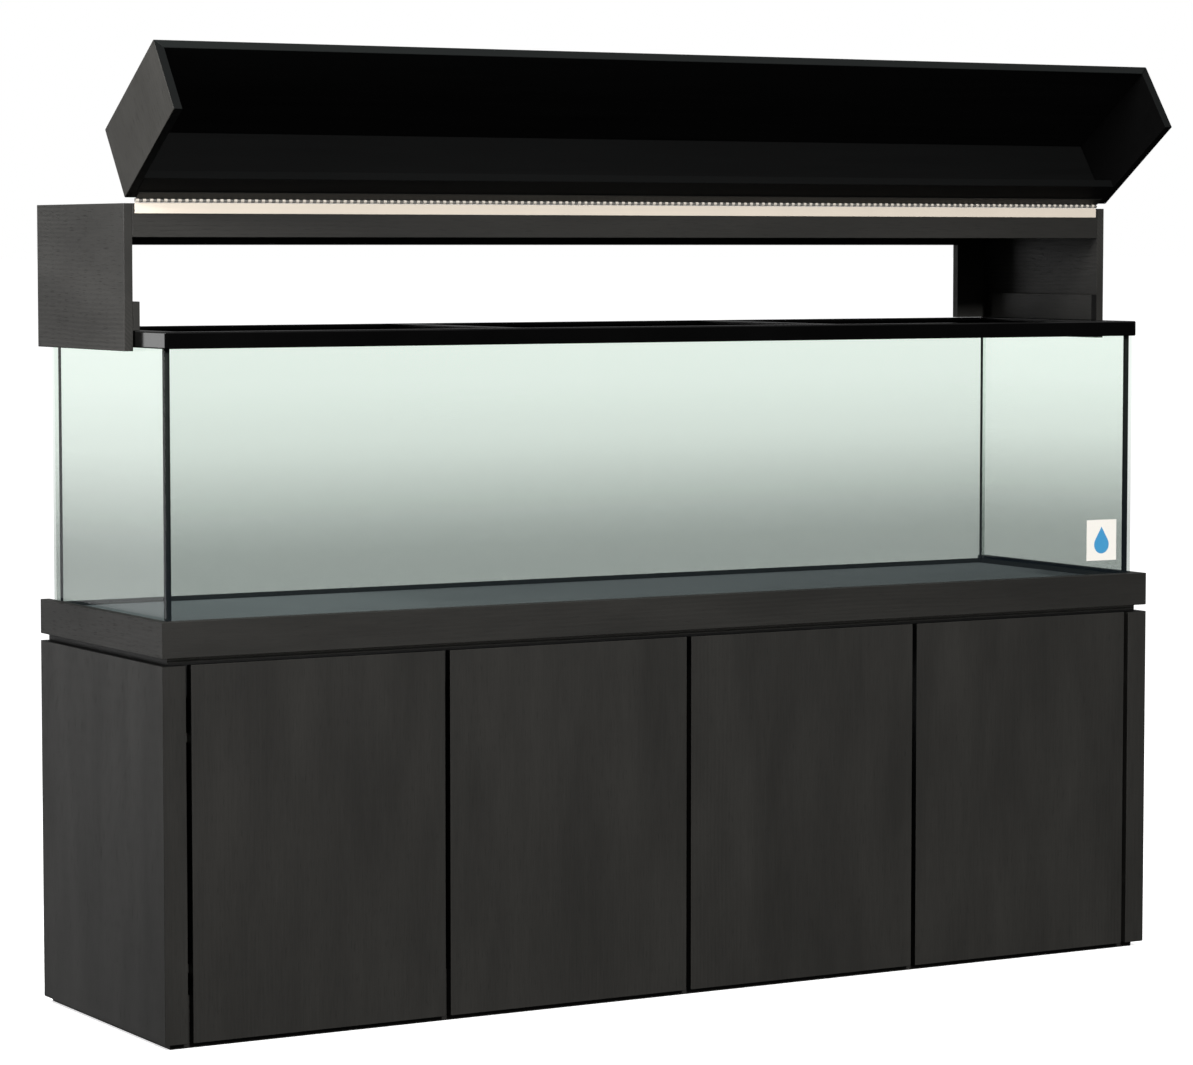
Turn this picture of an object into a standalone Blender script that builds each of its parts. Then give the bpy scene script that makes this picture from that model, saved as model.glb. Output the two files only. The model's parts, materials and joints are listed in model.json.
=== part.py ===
"""Eight-foot glass aquarium on a four-door cabinet stand, under a hinged canopy.

Metres, +Z up, +X along the length, -Y towards the front.  The origin is on the
floor, at the centre of the stand.  The canopy lid stands open, as it is stored.
"""
import math

import bmesh
import bpy
from mathutils import Euler, Matrix, Vector

# --- driving dimensions -------------------------------------------------------
STAND_LENGTH = 2.480
STAND_DEPTH = 0.640
BOARD = 0.019                # every cabinet and canopy board
GAP = 0.0003                 # left between pieces that touch
MITRE_GAP = 0.0002           # each half of a mitre joint
EDGE = 0.0008                # broken edge of a painted board

PLINTH_HEIGHT = 0.090
PANEL_BOTTOM = 0.013         # side panels and doors end this far above the floor
PANEL_TOP = 0.785
RECESS = 0.015               # shadow groove between the cabinet and its skirt
SKIRT_HEIGHT = 0.0735
NECK_HEIGHT = 0.1005
BACK_BOARD = 0.009

STILE_WIDTH = 0.051
REVEAL = 0.012               # gap on each side of a door
DOOR_COUNT = 4
DOOR_STANDOFF = 0.0015       # bumper space behind a closed door
DOOR_PIVOT_INSET = 0.003     # hinge axis, in from a door's front corner

CUP_RADIUS = 0.0175
CUP_DEPTH = 0.0115
CUP_FROM_EDGE = 0.0225
CUP_CLEARANCE = 0.0004
CUP_FLANGE = (0.024, 0.0016, 0.056)
CUP_FROM_END = 0.150         # from a door's top or bottom edge
ARM_SECTION = 0.012
ARM_HEIGHT = 0.018
HINGE_PLATE = (0.003, 0.052, 0.044)

HOSE_CUTOUT = (0.260, 0.120)
HOSE_CUTOUT_FROM_CENTRE = 0.400
HOSE_CUTOUT_HEIGHT = 0.560   # middle of the cut-out above the floor
HOSE_CUTOUT_RADIUS = 0.020

TANK_END_MARGIN = 0.0235     # stand end to glass
TANK_FRONT_MARGIN = 0.031
TANK_BACK_MARGIN = 0.020
TANK_HEIGHT = 0.6125         # mat to rim top
MAT = 0.006
GLASS = 0.012
GLASS_BOTTOM = 0.015
GLASS_JOINT = 0.0012         # silicone between two panes
SKIRT_CLEARANCE = 0.002      # skirt to glass
SKIRT_SEAT = 0.0006          # skirt rebate to the deck's edge and top
BEAD = 0.010
BEAD_STEP = 0.0001           # a corner bead is this much slimmer outside, fatter inside

RIM_HEIGHT = 0.034
RIM_PLATE = 0.006
RIM_END_OVERHANG = 0.0035
RIM_FRONT_OVERHANG = 0.010
RIM_FLANGE = 0.045
RIM_INNER_WALL = 0.003
RIM_SLOT_CLEARANCE = 0.0004
RIM_EDGE = 0.0022
BRACE_WIDTH = 0.050
BRACE_COUNT = 2

CANOPY_CLEARANCE = 0.002     # end panel to tank rim
CANOPY_SETBACK = 0.1747      # stand front to canopy frame
CANOPY_BACK_INSET = 0.004
CANOPY_HEIGHT = 0.3009
CANOPY_DROP = 0.0414         # how far the end panels hang below the rim top
FRONT_RAIL_HEIGHT = 0.069
BACK_FRAME = 0.0845          # width of the canopy's back board round its opening
CLEAT = (0.015, 0.0598)      # thickness and height of a cleat
CLEAT_BACK_INSET = 0.063

LEAF = 0.0013                # hinge sheet
LEAF_HEIGHT = 0.0205
LEAF_END_INSET = 0.0055
KNUCKLE_RADIUS = 0.0045
KNUCKLE_BORE = 0.0024
PIN_RADIUS = 0.0020
PIN_ABOVE_FRAME = 0.006
KNUCKLE_COUNT = 9
LID_OPEN = math.radians(125)

# --- levels and places worked out from them -----------------------------------
HALF = STAND_LENGTH / 2
FRONT = -STAND_DEPTH / 2
BACK = STAND_DEPTH / 2
CARCASS_FRONT = FRONT + BOARD + DOOR_STANDOFF
INNER = HALF - BOARD         # inner face of a side panel
SKIRT_BOTTOM = PANEL_TOP + RECESS
SKIRT_TOP = SKIRT_BOTTOM + SKIRT_HEIGHT
NECK_BOTTOM = PANEL_TOP + RECESS + BOARD - NECK_HEIGHT
DECK_BOTTOM = NECK_BOTTOM + NECK_HEIGHT - 2 * GAP
DECK_TOP = DECK_BOTTOM + BOARD
MAT_TOP = DECK_TOP + MAT
FLOOR_BOARD_TOP = PLINTH_HEIGHT + BOARD

TANK_X = HALF - TANK_END_MARGIN
TANK_FRONT = FRONT + TANK_FRONT_MARGIN
TANK_BACK = BACK - TANK_BACK_MARGIN
RIM_TOP = MAT_TOP + TANK_HEIGHT
RIM_X = TANK_X + RIM_END_OVERHANG
RIM_FRONT = TANK_FRONT - RIM_FRONT_OVERHANG
RIM_BACK = TANK_BACK + RIM_END_OVERHANG

CANOPY_INNER = RIM_X + CANOPY_CLEARANCE
CANOPY_OUTER = CANOPY_INNER + BOARD
CANOPY_FRONT = FRONT + CANOPY_SETBACK
CANOPY_BACK = BACK - CANOPY_BACK_INSET
CANOPY_BOTTOM = RIM_TOP - CANOPY_DROP
CANOPY_TOP = CANOPY_BOTTOM + CANOPY_HEIGHT
PIN_Y = CANOPY_FRONT - GAP - LEAF - GAP
PIN_Z = CANOPY_TOP + PIN_ABOVE_FRAME
LID_BACK = PIN_Y - GAP - LEAF - GAP

DOOR_WIDTH = (STAND_LENGTH - 2 * STILE_WIDTH - (DOOR_COUNT + 1) * REVEAL) / DOOR_COUNT


def clear_scene():
    """Remove what Blender's start file put in the scene."""
    for obj in list(bpy.data.objects):
        bpy.data.objects.remove(obj, do_unlink=True)


def new_collection(name):
    collection = bpy.data.collections.new(name)
    bpy.context.scene.collection.children.link(collection)
    return collection


def material(name, color, roughness, metallic=0.0, alpha=1.0):
    """One Principled material."""
    mat = bpy.data.materials.new(name)
    mat.use_nodes = True
    shader = mat.node_tree.nodes["Principled BSDF"]
    shader.inputs["Base Color"].default_value = (*color, 1.0)
    shader.inputs["Roughness"].default_value = roughness
    shader.inputs["Metallic"].default_value = metallic
    shader.inputs["Alpha"].default_value = alpha
    mat.diffuse_color = (*color, alpha)
    return mat


def place(obj, name, mat, collection):
    """Name an object, give it its material and move it to its collection."""
    obj.name = name
    obj.data.name = name
    if mat:
        obj.data.materials.append(mat)
    for owner in list(obj.users_collection):
        owner.objects.unlink(obj)
    collection.objects.link(obj)
    return obj


def break_edges(obj, width):
    """Chamfer every edge of an object by a small width."""
    if width:
        bevel = obj.modifiers.new("edges", "BEVEL")
        bevel.width = width
        bevel.segments = 1
        bevel.limit_method = "ANGLE"
    return obj


def box(name, low, high, mat, collection, edge=0.0):
    """A rectangular piece between two corners."""
    low, high = Vector(low), Vector(high)
    bpy.ops.mesh.primitive_cube_add(size=1, location=(low + high) / 2)
    obj = bpy.context.object
    obj.scale = high - low
    bpy.ops.object.transform_apply(location=False, rotation=False, scale=True)
    return break_edges(place(obj, name, mat, collection), edge)


def cylinder(name, radius, length, centre, axis, mat, collection, sides=24):
    """A round piece along X, Y or Z."""
    turn = {"X": (0, math.pi / 2, 0), "Y": (math.pi / 2, 0, 0), "Z": (0, 0, 0)}[axis]
    bpy.ops.mesh.primitive_cylinder_add(vertices=sides, radius=radius, depth=length,
                                        location=centre, rotation=turn)
    obj = bpy.context.object
    obj.data.shade_smooth()
    obj.data.set_sharp_from_angle(angle=math.radians(40))
    return place(obj, name, mat, collection)


def combine(obj, tool, operation):
    """Cut an object with a tool, or join the tool to it."""
    tool.hide_render = True
    tool.display_type = "WIRE"
    boolean = obj.modifiers.new(tool.name, "BOOLEAN")
    boolean.operation = operation
    boolean.solver = "EXACT"
    boolean.object = tool
    return obj


def mitred_board(name, profile, length, origin, turn, mitres, mat, collection, edge=EDGE):
    """A board with 45 degree ends.

    The profile gives (depth, height) points, depth being counted in from the
    outer face.  The board runs along its own X axis, and an end that is mitred
    is shorter by a point's depth.
    """
    mesh = bpy.data.meshes.new(name)
    bm = bmesh.new()
    start = bm.faces.new([bm.verts.new((0, d, h)) for d, h in profile])
    grown = bmesh.ops.extrude_face_region(bm, geom=[start])["geom"]
    far = [v for v in grown if isinstance(v, bmesh.types.BMVert)]
    bmesh.ops.translate(bm, verts=far, vec=(length, 0, 0))
    for vert in bm.verts:
        shorten = vert.co.y + MITRE_GAP
        if vert.co.x > length / 2 and mitres[1]:
            vert.co.x -= shorten
        elif vert.co.x < length / 2 and mitres[0]:
            vert.co.x += shorten
    bmesh.ops.recalc_face_normals(bm, faces=bm.faces)
    bm.to_mesh(mesh)
    bm.free()
    obj = bpy.data.objects.new(name, mesh)
    obj.location = origin
    obj.rotation_euler = turn
    collection.objects.link(obj)
    mesh.materials.append(mat)
    return break_edges(obj, edge)


def hang_on(axis_name, axis_point, pieces, collection, angle=0.0):
    """Parent pieces, drawn in their closed place, to an empty on their joint's axis."""
    axis = bpy.data.objects.new(axis_name, None)
    axis.location = axis_point
    collection.objects.link(axis)
    for piece in pieces:
        piece.parent = axis
        piece.matrix_parent_inverse = Matrix.Translation(-Vector(axis_point))
    axis.rotation_euler = Euler((angle, 0, 0))
    return axis


def build_plinth(mat, parts):
    """Four boards and a centre sleeper that carry the cabinet."""
    x = INNER - GAP
    low, high = 0.0, PLINTH_HEIGHT
    box("plinth_front", (-x, CARCASS_FRONT, low), (x, CARCASS_FRONT + BOARD, high), mat, parts, EDGE)
    box("plinth_back", (-x, BACK - BOARD, low), (x, BACK, high), mat, parts, EDGE)
    inner = (CARCASS_FRONT + BOARD + GAP, BACK - BOARD - GAP)
    box("plinth_left", (-x, inner[0], low), (-x + BOARD, inner[1], high), mat, parts, EDGE)
    box("plinth_right", (x - BOARD, inner[0], low), (x, inner[1], high), mat, parts, EDGE)
    box("plinth_sleeper", (-BOARD / 2, inner[0], low), (BOARD / 2, inner[1], high), mat, parts)


def build_carcass(mat, parts, tools):
    """Floor, sides mitred to stiles, partition, back, neck frame and deck."""
    x = INNER - GAP
    inside_back = BACK - BACK_BOARD - GAP
    box("cabinet_floor", (-x, CARCASS_FRONT, PLINTH_HEIGHT + GAP),
        (x, inside_back, FLOOR_BOARD_TOP), mat, parts)
    height = PANEL_TOP - PANEL_BOTTOM
    board = [(0, 0), (BOARD, 0), (BOARD, height), (0, height)]
    mitred_board("side_panel_left", board, STAND_DEPTH, (-HALF, BACK, PANEL_BOTTOM),
                 (0, 0, -math.pi / 2), (False, True), mat, parts)
    mitred_board("side_panel_right", board, STAND_DEPTH, (HALF, FRONT, PANEL_BOTTOM),
                 (0, 0, math.pi / 2), (True, False), mat, parts)
    mitred_board("front_stile_left", board, STILE_WIDTH, (-HALF, FRONT, PANEL_BOTTOM),
                 (0, 0, 0), (True, False), mat, parts)
    mitred_board("front_stile_right", board, STILE_WIDTH, (HALF - STILE_WIDTH, FRONT, PANEL_BOTTOM),
                 (0, 0, 0), (False, True), mat, parts)
    box("center_partition", (-BOARD / 2, CARCASS_FRONT, FLOOR_BOARD_TOP + GAP),
        (BOARD / 2, inside_back, NECK_BOTTOM - GAP), mat, parts)

    back = box("cabinet_back", (-x, BACK - BACK_BOARD, PLINTH_HEIGHT + GAP),
               (x, BACK, NECK_BOTTOM - GAP), mat, parts)
    for side, name in ((-1, "left"), (1, "right")):
        middle = side * HOSE_CUTOUT_FROM_CENTRE
        cutter = box(f"hose_cutter_{name}",
                     (middle - HOSE_CUTOUT[0] / 2, BACK - 2 * BACK_BOARD,
                      HOSE_CUTOUT_HEIGHT - HOSE_CUTOUT[1] / 2),
                     (middle + HOSE_CUTOUT[0] / 2, BACK + BACK_BOARD,
                      HOSE_CUTOUT_HEIGHT + HOSE_CUTOUT[1] / 2), None, tools)
        round_corners(cutter, HOSE_CUTOUT_RADIUS)
        combine(back, cutter, "DIFFERENCE")

    neck = box("neck_frame", (-x, CARCASS_FRONT, NECK_BOTTOM),
               (x, BACK, DECK_BOTTOM - GAP), mat, parts)
    window = box("neck_window", (-x + BOARD, CARCASS_FRONT + BOARD, NECK_BOTTOM - BOARD),
                 (x - BOARD, BACK - BOARD, DECK_TOP), None, tools)
    combine(neck, window, "DIFFERENCE")
    x = INNER - SKIRT_SEAT
    box("deck", (-x, CARCASS_FRONT, DECK_BOTTOM), (x, BACK, DECK_TOP), mat, parts)


def round_corners(cutter, radius):
    """Round a cutter's edges that run along Y."""
    weights = cutter.data.attributes.new("bevel_weight_edge", "FLOAT", "EDGE")
    for edge, weight in zip(cutter.data.edges, weights.data):
        a, b = (cutter.data.vertices[i].co for i in edge.vertices)
        weight.value = 1.0 if abs(a.y - b.y) > radius / 2 else 0.0
    bevel = cutter.modifiers.new("corners", "BEVEL")
    bevel.width = radius
    bevel.segments = 4
    bevel.limit_method = "WEIGHT"


def build_skirt(mat, parts):
    """Three mitred boards round the tank's foot, rebated over the deck's edge."""
    height = SKIRT_TOP - SKIRT_BOTTOM
    step = DECK_TOP + SKIRT_SEAT - SKIRT_BOTTOM
    front_depth = TANK_FRONT_MARGIN - SKIRT_CLEARANCE
    end_depth = TANK_END_MARGIN - SKIRT_CLEARANCE
    rebate = BOARD

    def profile(depth):
        return [(0, 0), (rebate, 0), (rebate, step), (depth, step), (depth, height), (0, height)]

    mitred_board("skirt_front", profile(front_depth), STAND_LENGTH, (-HALF, FRONT, SKIRT_BOTTOM),
                 (0, 0, 0), (True, True), mat, parts)
    mitred_board("skirt_left", profile(end_depth), STAND_DEPTH, (-HALF, BACK, SKIRT_BOTTOM),
                 (0, 0, -math.pi / 2), (False, True), mat, parts)
    mitred_board("skirt_right", profile(end_depth), STAND_DEPTH, (HALF, FRONT, SKIRT_BOTTOM),
                 (0, 0, math.pi / 2), (True, False), mat, parts)


def build_doors(wood, steel, parts, tools):
    """Four inset doors, each on two cup hinges, two doors to a bay."""
    for index in range(DOOR_COUNT):
        number = index + 1
        left = -HALF + STILE_WIDTH + REVEAL + index * (DOOR_WIDTH + REVEAL)
        right = left + DOOR_WIDTH
        hinged_left = index % 2 == 0
        edge_x = left if hinged_left else right
        inward = 1 if hinged_left else -1
        outer_bay = index in (0, DOOR_COUNT - 1)
        wall_x = -inward * INNER if outer_bay else inward * BOARD / 2

        door = box(f"door_{number}", (left, FRONT, PANEL_BOTTOM),
                   (right, FRONT + BOARD, PANEL_TOP), wood, parts, EDGE)
        pieces = [door]
        for level, z in (("bottom", PANEL_BOTTOM + CUP_FROM_END), ("top", PANEL_TOP - CUP_FROM_END)):
            name = f"{number}_{level}"
            cup_x = edge_x + inward * CUP_FROM_EDGE
            pieces.append(build_cup(name, cup_x, z, door, steel, parts, tools))
            build_hinge_arm(name, wall_x, cup_x, inward, z, steel, parts, tools)
        pivot = (edge_x + inward * DOOR_PIVOT_INSET, FRONT + DOOR_PIVOT_INSET, PANEL_BOTTOM)
        hang_on(f"door_{number}_axis", pivot, pieces, parts)


def build_cup(name, x, z, door, steel, parts, tools):
    """A hinge cup, let into the back of its door."""
    back_face = FRONT + BOARD
    bore_radius = CUP_RADIUS + CUP_CLEARANCE
    bore = cylinder(f"cup_bore_{name}", bore_radius, 2 * (CUP_DEPTH + CUP_CLEARANCE),
                    (x, back_face, z), "Y", None, tools)
    combine(door, bore, "DIFFERENCE")
    top = back_face + GAP + CUP_FLANGE[1]
    flange = box(f"hinge_cup_{name}",
                 (x - CUP_FLANGE[0] / 2, back_face + GAP, z - CUP_FLANGE[2] / 2),
                 (x + CUP_FLANGE[0] / 2, top, z + CUP_FLANGE[2] / 2), steel, parts)
    low, high = back_face - CUP_DEPTH, back_face + GAP + CUP_FLANGE[1] / 2
    body = cylinder(f"cup_body_{name}", CUP_RADIUS, high - low,
                    (x, (low + high) / 2, z), "Y", None, tools)
    return combine(flange, body, "UNION")


def build_hinge_arm(name, wall_x, cup_x, inward, z, steel, parts, tools):
    """A hinge's mounting plate on the cabinet wall, with its arm to the cup."""
    start = FRONT + BOARD + DOOR_STANDOFF + CUP_FLANGE[1]
    plate_x = sorted((wall_x + inward * GAP, wall_x + inward * HINGE_PLATE[0]))
    plate = box(f"hinge_arm_{name}", (plate_x[0], start, z - HINGE_PLATE[2] / 2),
                (plate_x[1], start + HINGE_PLATE[1], z + HINGE_PLATE[2] / 2), steel, parts)
    arm_x = sorted((wall_x + inward * HINGE_PLATE[0] / 2, cup_x + inward * ARM_SECTION / 2))
    arm = box(f"arm_{name}", (arm_x[0], start + GAP, z - ARM_HEIGHT / 2),
              (arm_x[1], start + ARM_SECTION, z + ARM_HEIGHT / 2), None, tools)
    combine(plate, arm, "UNION")


def build_tank(glass, silicone, foam, plastic, parts, tools):
    """Five panes bonded with black silicone, a foam mat below and a rim on top."""
    box("foam_mat", (-TANK_X, TANK_FRONT, DECK_TOP + GAP), (TANK_X, TANK_BACK, MAT_TOP), foam, parts)
    low = MAT_TOP + GAP
    high = RIM_TOP - RIM_PLATE - GAP
    box("glass_front", (-TANK_X, TANK_FRONT, low), (TANK_X, TANK_FRONT + GLASS, high), glass, parts)
    box("glass_back", (-TANK_X, TANK_BACK - GLASS, low), (TANK_X, TANK_BACK, high), glass, parts)
    end_y = (TANK_FRONT + GLASS + GLASS_JOINT, TANK_BACK - GLASS - GLASS_JOINT)
    box("glass_left", (-TANK_X, end_y[0], low), (-TANK_X + GLASS, end_y[1], high), glass, parts)
    box("glass_right", (TANK_X - GLASS, end_y[0], low), (TANK_X, end_y[1], high), glass, parts)
    floor_x = TANK_X - GLASS - GLASS_JOINT
    floor_top = low + GLASS_BOTTOM
    box("glass_bottom", (-floor_x, end_y[0], low), (floor_x, end_y[1], floor_top), glass, parts)
    build_silicone(floor_top + GAP, RIM_TOP - RIM_HEIGHT - GAP, silicone, parts, tools)
    build_rim(plastic, parts, tools)


def build_silicone(low, high, silicone, parts, tools):
    """One continuous bead round the floor and up the four corners, with its joint films."""
    x = TANK_X - GLASS - GAP
    y = (TANK_FRONT + GLASS + GAP, TANK_BACK - GLASS - GAP)
    seal = box("silicone_seal", (-x, y[0], low), (x, y[1], low + BEAD), silicone, parts)
    window = box("bead_window", (-x + BEAD, y[0] + BEAD, low - BEAD),
                 (x - BEAD, y[1] - BEAD, low + 2 * BEAD), None, tools)
    combine(seal, window, "DIFFERENCE")
    film = GLASS_JOINT - 2 * GAP
    for side_x, name_x in ((-1, "left"), (1, "right")):
        for edge_y, inward, name_y in ((y[0], 1, "front"), (y[1], -1, "back")):
            span_x = sorted((side_x * (x - BEAD_STEP), side_x * (x - BEAD - BEAD_STEP)))
            span_y = sorted((edge_y + inward * BEAD_STEP, edge_y + inward * (BEAD + BEAD_STEP)))
            post = box(f"bead_{name_y}_{name_x}", (span_x[0], span_y[0], low + GAP),
                       (span_x[1], span_y[1], high), None, tools)
            combine(seal, post, "UNION")
            span_x = sorted((side_x * (x - BEAD / 2), side_x * (TANK_X - GAP)))
            span_y = sorted((edge_y + inward * 2 * BEAD_STEP, edge_y + inward * film))
            joint = box(f"film_{name_y}_{name_x}", (span_x[0], span_y[0], low + 2 * GAP),
                        (span_x[1], span_y[1], high - GAP), None, tools)
            combine(seal, joint, "UNION")


def build_rim(plastic, parts, tools):
    """The moulded top rim: a channel over the glass and braces across the opening."""
    bottom = RIM_TOP - RIM_HEIGHT
    under = RIM_TOP - RIM_PLATE
    rim = box("top_rim", (-RIM_X, RIM_FRONT, bottom), (RIM_X, RIM_BACK, RIM_TOP), plastic, parts, RIM_EDGE)

    slot = RIM_SLOT_CLEARANCE
    channel = box("rim_channel", (-TANK_X - slot, TANK_FRONT - slot, bottom - RIM_HEIGHT),
                  (TANK_X + slot, TANK_BACK + slot, under), None, tools)
    wall = GLASS + slot
    core = box("rim_core", (-TANK_X + wall, TANK_FRONT + wall, bottom - 2 * RIM_HEIGHT),
               (TANK_X - wall, TANK_BACK - wall, RIM_TOP), None, tools)
    combine(channel, core, "DIFFERENCE")
    combine(rim, channel, "DIFFERENCE")

    wall += RIM_INNER_WALL
    pocket = box("rim_pocket", (-TANK_X + wall, TANK_FRONT + wall, bottom - RIM_HEIGHT),
                 (TANK_X - wall, TANK_BACK - wall, under), None, tools)
    combine(rim, pocket, "DIFFERENCE")

    open_x = RIM_X - RIM_FLANGE
    count = BRACE_COUNT + 1
    width = (2 * open_x - BRACE_COUNT * BRACE_WIDTH) / count
    for index in range(count):
        left = -open_x + index * (width + BRACE_WIDTH)
        window = box(f"rim_window_{index + 1}", (left, RIM_FRONT + RIM_FLANGE, under - RIM_HEIGHT),
                     (left + width, RIM_BACK - RIM_FLANGE, RIM_TOP + RIM_HEIGHT), None, tools)
        combine(rim, window, "DIFFERENCE")


def build_canopy(mat, parts, tools):
    """The fixed frame that rests on the tank rim, open in front and cut out behind."""
    for side, name in ((-1, "left"), (1, "right")):
        span = sorted((side * CANOPY_INNER, side * CANOPY_OUTER))
        box(f"canopy_end_{name}", (span[0], CANOPY_FRONT, CANOPY_BOTTOM),
            (span[1], CANOPY_BACK, CANOPY_TOP), mat, parts, EDGE)
        inner = CANOPY_INNER - GAP
        span = sorted((side * inner, side * (inner - CLEAT[0])))
        box(f"canopy_cleat_{name}", (span[0], CANOPY_FRONT, RIM_TOP + GAP),
            (span[1], CANOPY_BACK - CLEAT_BACK_INSET, RIM_TOP + CLEAT[1]), mat, parts, EDGE)
    x = CANOPY_INNER - GAP
    box("canopy_rail_front", (-x, CANOPY_FRONT, CANOPY_TOP - FRONT_RAIL_HEIGHT),
        (x, CANOPY_FRONT + BOARD, CANOPY_TOP), mat, parts, EDGE)
    back = box("canopy_back", (-x, CANOPY_BACK - BOARD, RIM_TOP + GAP),
               (x, CANOPY_BACK, CANOPY_TOP), mat, parts, EDGE)
    opening = box("canopy_opening", (-x + BACK_FRAME, CANOPY_BACK - 2 * BOARD, CANOPY_BOTTOM),
                  (x - BACK_FRAME, CANOPY_BACK + BOARD, CANOPY_TOP - BACK_FRAME), None, tools)
    combine(back, opening, "DIFFERENCE")
    box("canopy_top", (-x, CANOPY_FRONT + BOARD + GAP, CANOPY_TOP - BOARD),
        (x, CANOPY_BACK - BOARD - GAP, CANOPY_TOP), mat, parts, EDGE)


def build_piano_hinge(steel, parts, tools):
    """Two leaves whose knuckles take turns along one pin.  Returns the lid's leaf."""
    half = CANOPY_INNER - LEAF_END_INSET
    pitch = 2 * half / KNUCKLE_COUNT
    leaf_top = PIN_Z - (KNUCKLE_RADIUS + KNUCKLE_BORE) / 2
    leaf_bottom = CANOPY_TOP - LEAF_HEIGHT
    fixed_y = (PIN_Y + GAP, PIN_Y + GAP + LEAF)
    moving_y = (PIN_Y - GAP - LEAF, PIN_Y - GAP)
    fixed = box("piano_hinge_frame_leaf", (-half, fixed_y[0], leaf_bottom),
                (half, fixed_y[1], leaf_top), steel, parts)
    moving = box("piano_hinge_lid_leaf", (-half, moving_y[0], leaf_bottom),
                 (half, moving_y[1], leaf_top), steel, parts)
    room = KNUCKLE_RADIUS + GAP
    for index in range(KNUCKLE_COUNT):
        left = -half + index * pitch
        middle = (left + pitch / 2, PIN_Y, PIN_Z)
        owner, other = (fixed, moving) if index % 2 == 0 else (moving, fixed)
        end_gap = 0 if index in (0, KNUCKLE_COUNT - 1) else GAP
        barrel = cylinder(f"knuckle_{index + 1}", KNUCKLE_RADIUS, pitch - 2 * GAP - end_gap,
                          middle, "X", None, tools, sides=14)
        combine(owner, barrel, "UNION")
        notch = box(f"notch_{index + 1}", (left - GAP, PIN_Y - room, PIN_Z - room),
                    (left + pitch + GAP, PIN_Y + room, PIN_Z + room), None, tools)
        combine(other, notch, "DIFFERENCE")
    bore = cylinder("pin_bore", KNUCKLE_BORE, 2 * half + BOARD, (0, PIN_Y, PIN_Z), "X",
                    None, tools, sides=14)
    combine(fixed, bore, "DIFFERENCE")
    combine(moving, bore, "DIFFERENCE")
    cylinder("piano_hinge_pin", PIN_RADIUS, 2 * half, (0, PIN_Y, PIN_Z), "X", steel, parts, sides=14)
    return moving


def build_lid(wood, parts, lid_leaf):
    """The lid: top, front and ends mitred together, with a rail along the hinge."""
    height = CANOPY_HEIGHT
    depth = LID_BACK - FRONT
    length = 2 * CANOPY_OUTER
    shelf = height - BOARD - MITRE_GAP
    upright = [(0, 0), (BOARD, 0), (BOARD, shelf), (0, height - MITRE_GAP)]
    front = mitred_board("lid_front", upright, length, (-CANOPY_OUTER, FRONT, CANOPY_BOTTOM),
                         (0, 0, 0), (True, True), wood, parts)
    left = mitred_board("lid_end_left", upright, depth, (-CANOPY_OUTER, LID_BACK, CANOPY_BOTTOM),
                        (0, 0, -math.pi / 2), (False, True), wood, parts)
    right = mitred_board("lid_end_right", upright, depth, (CANOPY_OUTER, FRONT, CANOPY_BOTTOM),
                         (0, 0, math.pi / 2), (True, False), wood, parts)
    flat = [(0, MITRE_GAP), (BOARD, BOARD + MITRE_GAP), (BOARD, depth), (0, depth)]
    top = mitred_board("lid_top", flat, length, (-CANOPY_OUTER, FRONT, CANOPY_TOP),
                       (-math.pi / 2, 0, 0), (True, True), wood, parts)
    x = CANOPY_INNER - GAP
    rail = box("lid_rail", (-x, LID_BACK - BOARD, CANOPY_TOP - FRONT_RAIL_HEIGHT),
               (x, LID_BACK, CANOPY_TOP - BOARD - GAP), wood, parts, EDGE)
    hang_on("lid_axis", (0, PIN_Y, PIN_Z), [front, left, right, top, rail, lid_leaf], parts, -LID_OPEN)


def build_all():
    clear_scene()
    parts = new_collection("aquarium_on_stand")
    tools = new_collection("cutters")
    wood = material("black_brown_wood", (0.030, 0.029, 0.026), 0.55)
    glass = material("tank_glass", (0.70, 0.80, 0.76), 0.05, alpha=0.35)
    silicone = material("black_silicone", (0.012, 0.013, 0.013), 0.45)
    foam = material("foam_mat", (0.02, 0.02, 0.02), 0.95)
    plastic = material("black_plastic", (0.010, 0.010, 0.010), 0.30)
    nickel = material("hinge_nickel", (0.62, 0.58, 0.50), 0.35, metallic=0.8)

    build_plinth(wood, parts)
    build_carcass(wood, parts, tools)
    build_skirt(wood, parts)
    build_doors(wood, nickel, parts, tools)
    build_tank(glass, silicone, foam, plastic, parts, tools)
    build_canopy(wood, parts, tools)
    lid_leaf = build_piano_hinge(nickel, parts, tools)
    build_lid(wood, parts, lid_leaf)


build_all()
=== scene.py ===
"""An eight-foot aquarium on its four-door cabinet, under a hinged canopy.

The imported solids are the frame.  Each section below finishes one piece, or one
family of like pieces, in the order in which the real thing is put together.
"""
import json
import math

import bmesh
import bpy
from mathutils import Matrix, Vector


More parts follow.
